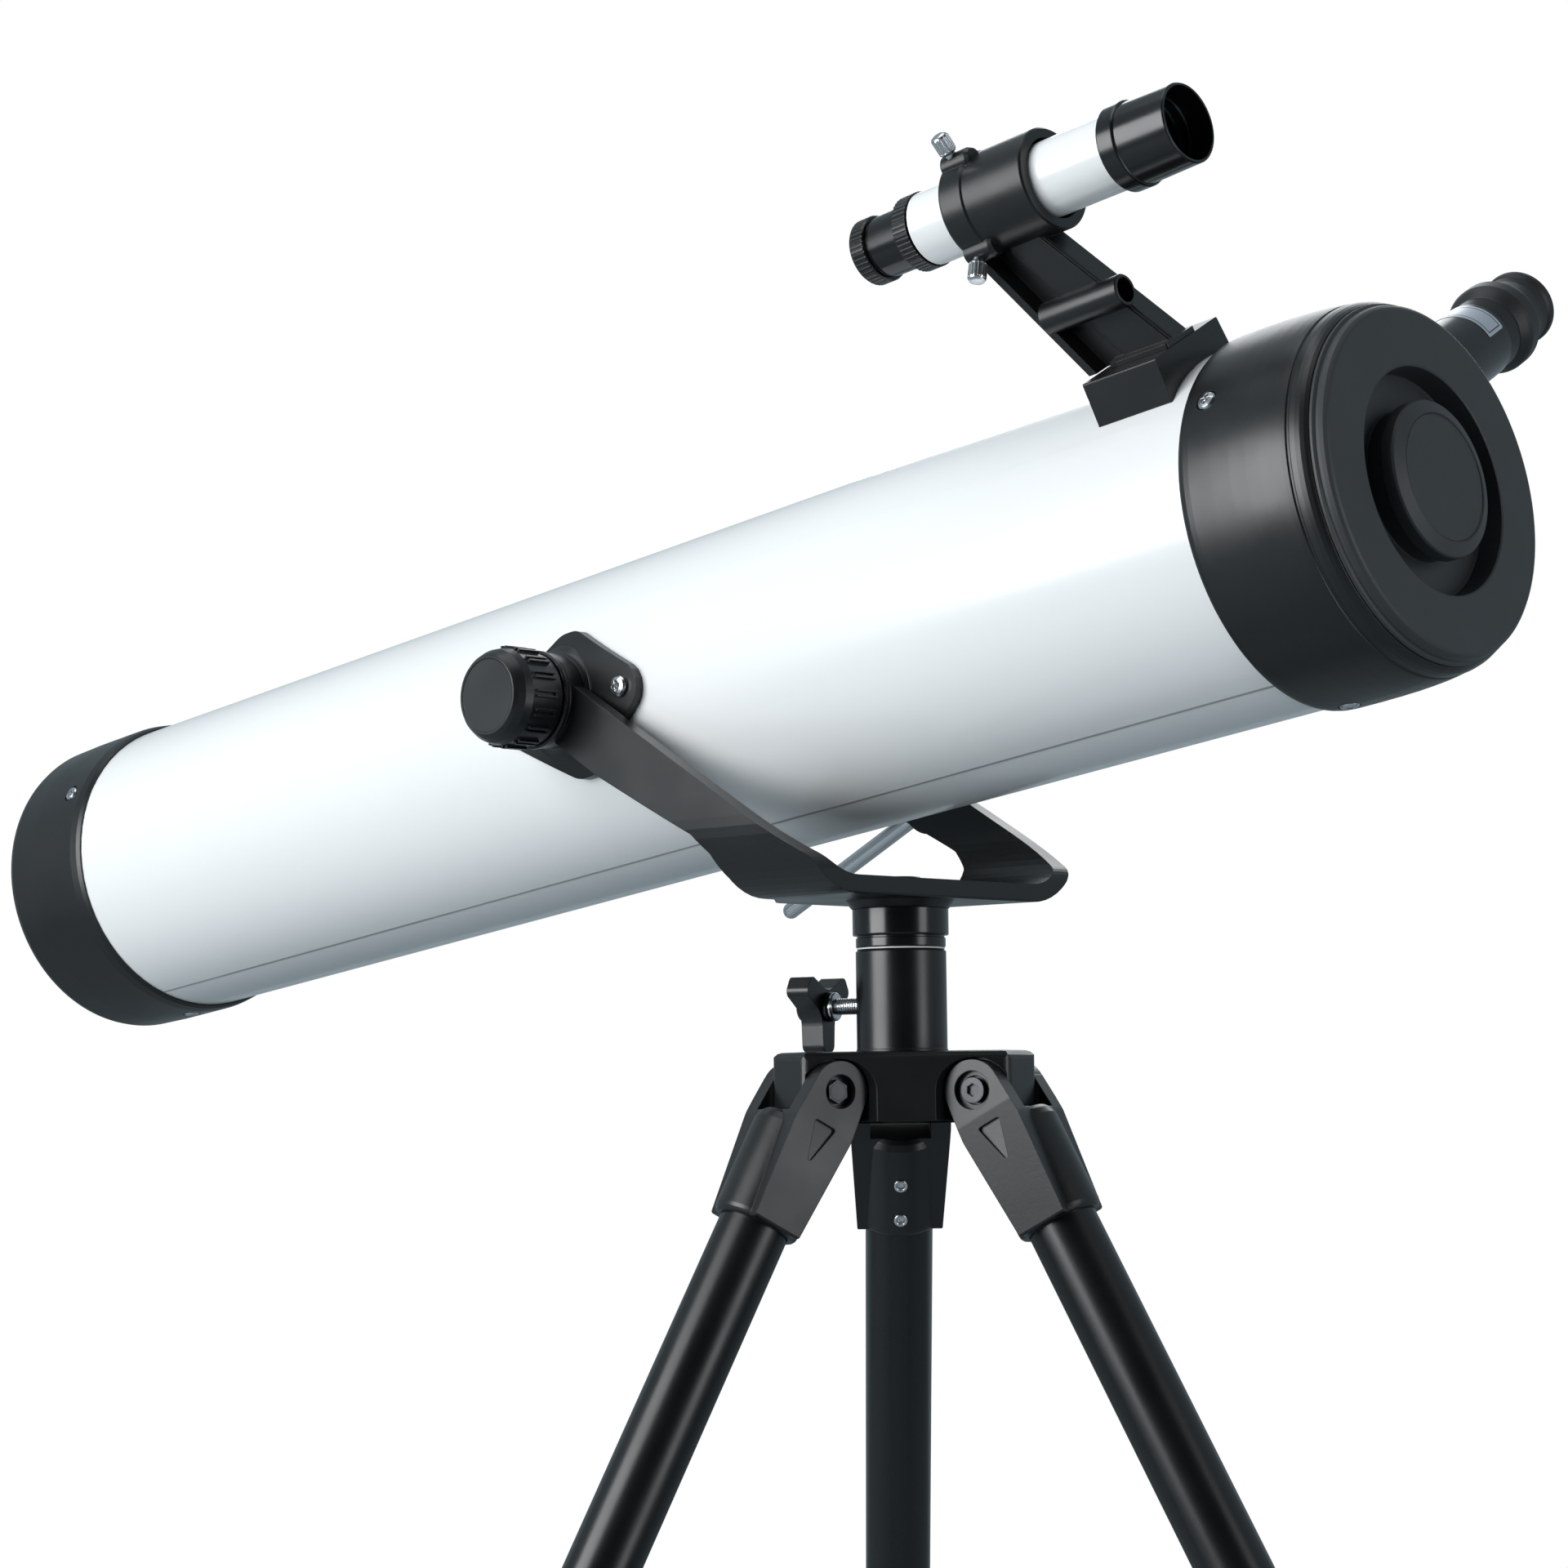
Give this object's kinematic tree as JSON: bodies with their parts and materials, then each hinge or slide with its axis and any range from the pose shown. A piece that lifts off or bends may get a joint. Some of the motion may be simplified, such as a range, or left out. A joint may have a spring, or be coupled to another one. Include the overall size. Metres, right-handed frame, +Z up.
{
  "type": "newtonian reflector telescope",
  "caption": "White tube reflector telescope with finder, rack focuser and eyepiece, on a black yoke mount and folding telescopic tripod.",
  "frame": {"origin": "centre of the tripod hub's underside, on the azimuth axis", "axes": "+Z up along the azimuth axis, +X the way the tube points at rest, +Y to the far side where the focuser is"},
  "size_m": [0.883, 0.7389, 1.0207],
  "materials": {
    "black_casting": "satin",
    "black_plastic": "satin",
    "gloss_black": "gloss",
    "white_paint": "satin gloss",
    "black_tube": "satin",
    "zinc": "bright zinc",
    "steel": "plain",
    "rubber": "matt",
    "mirror": "polished",
    "lens": "polished",
    "ptfe": "satin",
    "alloy": "anodised"
  },
  "bodies": {
    "tripod": {"tripod_hub": "black_casting", "hinge_bolts": "zinc", "azimuth_column": "black_tube", "azimuth_washer": "ptfe"},
    "lock": {"lock_screw": "zinc", "lock_knob": "black_plastic"},
    "leg_a": {"leg_fitting_a": "black_casting", "leg_tube_a": "black_tube"},
    "collar_a": {"leg_collar_a": "black_plastic"},
    "lower_a": {"leg_lower_a": "alloy", "leg_foot_a": "rubber"},
    "leg_b": {"leg_fitting_b": "black_casting", "leg_tube_b": "black_tube"},
    "collar_b": {"leg_collar_b": "black_plastic"},
    "lower_b": {"leg_lower_b": "alloy", "leg_foot_b": "rubber"},
    "leg_c": {"leg_fitting_c": "black_casting", "leg_tube_c": "black_tube"},
    "collar_c": {"leg_collar_c": "black_plastic"},
    "lower_c": {"leg_lower_c": "alloy", "leg_foot_c": "rubber"},
    "yoke": {"yoke": "black_casting", "yoke_spindle": "gloss_black", "altitude_washers": "black_plastic"},
    "knob_near": {"altitude_knob_near": "black_plastic"},
    "knob_far": {"altitude_knob_far": "black_plastic"},
    "ota": {"saddle_plates": "black_casting", "saddle_screws": "zinc", "main_tube": "white_paint", "front_ring": "black_plastic", "rear_ring": "black_plastic", "ring_screws": "zinc", "spider": "black_plastic", "secondary_holder": "black_plastic", "secondary_mirror": "mirror", "mirror_cell": "black_plastic", "primary_mirror": "mirror", "collimation_screws": "zinc", "focuser_base": "black_plastic", "finder_base": "black_casting", "finder_bracket": "black_casting", "finder_tube": "white_paint", "finder_objective_cell": "gloss_black", "finder_lens": "lens", "rod_bracket": "black_casting"},
    "dust_cap": {"dust_cap": "black_plastic"},
    "centre_cap": {"centre_cap": "black_plastic"},
    "drawtube": {"drawtube": "alloy"},
    "focus_drive": {"focus_shaft": "steel", "focus_knobs": "black_plastic"},
    "erecting_tube": {"erecting_tube": "gloss_black"},
    "eyepiece": {"eyepiece": "black_plastic", "eyecup": "rubber"},
    "finder_eyepiece": {"finder_eyepiece": "gloss_black"},
    "finder_lock_ring": {"finder_lock_ring": "gloss_black"},
    "finder_screw_a": {"finder_screw_a": "zinc"},
    "finder_screw_b": {"finder_screw_b": "zinc"},
    "finder_screw_c": {"finder_screw_c": "zinc"},
    "rod": {"slow_motion_rod": "zinc"},
    "clamp": {"rod_clamp": "gloss_black"}
  },
  "joints": [
    {"name": "azimuth", "type": "hinge", "parent": "tripod", "child": "yoke", "pos_m": [0, 0, 0.0675], "axis": [0, 0, 1], "continuous": true},
    {"name": "altitude", "type": "hinge", "parent": "yoke", "child": "ota", "pos_m": [-0.1072, 0, 0.1519], "axis": [0, -1, 0], "range_deg": [-8, 37]},
    {"name": "rod_swing", "type": "hinge", "parent": "ota", "child": "rod", "pos_m": [0.0502, 0.0816, 0.17237], "axis": [0, -1, 0], "range_deg": [-2, 5]},
    {"name": "clamp_swing", "type": "hinge", "parent": "yoke", "child": "clamp", "pos_m": [-0.0572, 0.0816, 0.11885], "axis": [0, -1, 0], "range_deg": [-10, 43]},
    {"name": "lock_turn", "type": "hinge", "parent": "tripod", "child": "lock", "pos_m": [-0.01942, -0.00477, 0.041], "axis": [-0.9711, -0.2385, 0], "range_deg": [0, 360]},
    {"name": "knob_near_turn", "type": "hinge", "parent": "yoke", "child": "knob_near", "pos_m": [-0.1072, -0.08, 0.1519], "axis": [0, -1, 0], "range_deg": [0, 360]},
    {"name": "knob_far_turn", "type": "hinge", "parent": "yoke", "child": "knob_far", "pos_m": [-0.1072, 0.08, 0.1519], "axis": [0, 1, 0], "range_deg": [0, 360]},
    {"name": "leg_a_fold", "type": "hinge", "parent": "tripod", "child": "leg_a", "pos_m": [-0.01004, -0.03457, 0.011], "axis": [0.9603, -0.279, 0], "range_deg": [0, 26]},
    {"name": "collar_a_twist", "type": "hinge", "parent": "leg_a", "child": "collar_a", "pos_m": [-0.11274, -0.38806, -0.67667], "axis": [-0.1317, -0.4532, -0.8816], "range_deg": [0, 90]},
    {"name": "leg_a_extend", "type": "slide", "parent": "leg_a", "child": "lower_a", "axis": [-0.1317, -0.4532, -0.8816], "range_m": [0, 0.55]},
    {"name": "leg_b_fold", "type": "hinge", "parent": "tripod", "child": "leg_b", "pos_m": [0.03496, 0.00859, 0.011], "axis": [-0.2385, 0.9711, 0], "range_deg": [0, 26]},
    {"name": "collar_b_twist", "type": "hinge", "parent": "leg_b", "child": "collar_b", "pos_m": [0.39244, 0.09639, -0.67667], "axis": [0.4583, 0.1126, -0.8816], "range_deg": [0, 90]},
    {"name": "leg_b_extend", "type": "slide", "parent": "leg_b", "child": "lower_b", "axis": [0.4583, 0.1126, -0.8816], "range_m": [0, 0.55]},
    {"name": "leg_c_fold", "type": "hinge", "parent": "tripod", "child": "leg_c", "pos_m": [-0.02492, 0.02598, 0.011], "axis": [-0.7218, -0.6921, 0], "range_deg": [0, 26]},
    {"name": "collar_c_twist", "type": "hinge", "parent": "leg_c", "child": "collar_c", "pos_m": [-0.2797, 0.29167, -0.67667], "axis": [-0.3266, 0.3406, -0.8816], "range_deg": [0, 90]},
    {"name": "leg_c_extend", "type": "slide", "parent": "leg_c", "child": "lower_c", "axis": [-0.3266, 0.3406, -0.8816], "range_m": [0, 0.55]},
    {"name": "dust_cap_off", "type": "slide", "parent": "ota", "child": "dust_cap", "axis": [0.9908, 0, 0.1353], "range_m": [0, 0.12]},
    {"name": "centre_cap_off", "type": "slide", "parent": "dust_cap", "child": "centre_cap", "axis": [0.9908, 0, 0.1353], "range_m": [0, 0.06]},
    {"name": "focus_slide", "type": "slide", "parent": "ota", "child": "drawtube", "axis": [-0.0643, 0.8796, 0.4713], "range_m": [-0.009, 0.033]},
    {"name": "focus_turn", "type": "hinge", "parent": "ota", "child": "focus_drive", "pos_m": [0.13506, 0.0883, 0.20265], "axis": [-0.9908, 0, -0.1353], "range_deg": [-95, 345]},
    {"name": "erecting_tube_out", "type": "slide", "parent": "drawtube", "child": "erecting_tube", "axis": [-0.0643, 0.8796, 0.4713], "range_m": [0, 0.08]},
    {"name": "eyepiece_out", "type": "slide", "parent": "erecting_tube", "child": "eyepiece", "axis": [-0.0643, 0.8796, 0.4713], "range_m": [0, 0.06]},
    {"name": "finder_focus", "type": "slide", "parent": "ota", "child": "finder_eyepiece", "axis": [-0.9908, 0, -0.1353], "range_m": [0, 0.008]},
    {"name": "finder_lock_turn", "type": "hinge", "parent": "ota", "child": "finder_lock_ring", "pos_m": [0.07087, -0.0625, 0.29287], "axis": [0.9908, 0, 0.1353], "range_deg": [0, 90]},
    {"name": "finder_screw_a_out", "type": "slide", "parent": "ota", "child": "finder_screw_a", "axis": [-0.0999, -0.6743, 0.7317], "range_m": [0, 0.006]},
    {"name": "finder_screw_b_out", "type": "slide", "parent": "ota", "child": "finder_screw_b", "axis": [0.129, -0.3024, -0.9444], "range_m": [0, 0.006]},
    {"name": "finder_screw_c_out", "type": "slide", "parent": "ota", "child": "finder_screw_c", "axis": [-0.0291, 0.9767, 0.2128], "range_m": [0, 0.006]}
  ],
  "couplings": [
    {"joint": "rod_swing", "follows": "altitude", "ratio": 0.105},
    {"joint": "clamp_swing", "follows": "altitude", "ratio": 1.105},
    {"joint": "focus_turn", "follows": "focus_slide", "rad_per_m": 178.57}
  ]
}
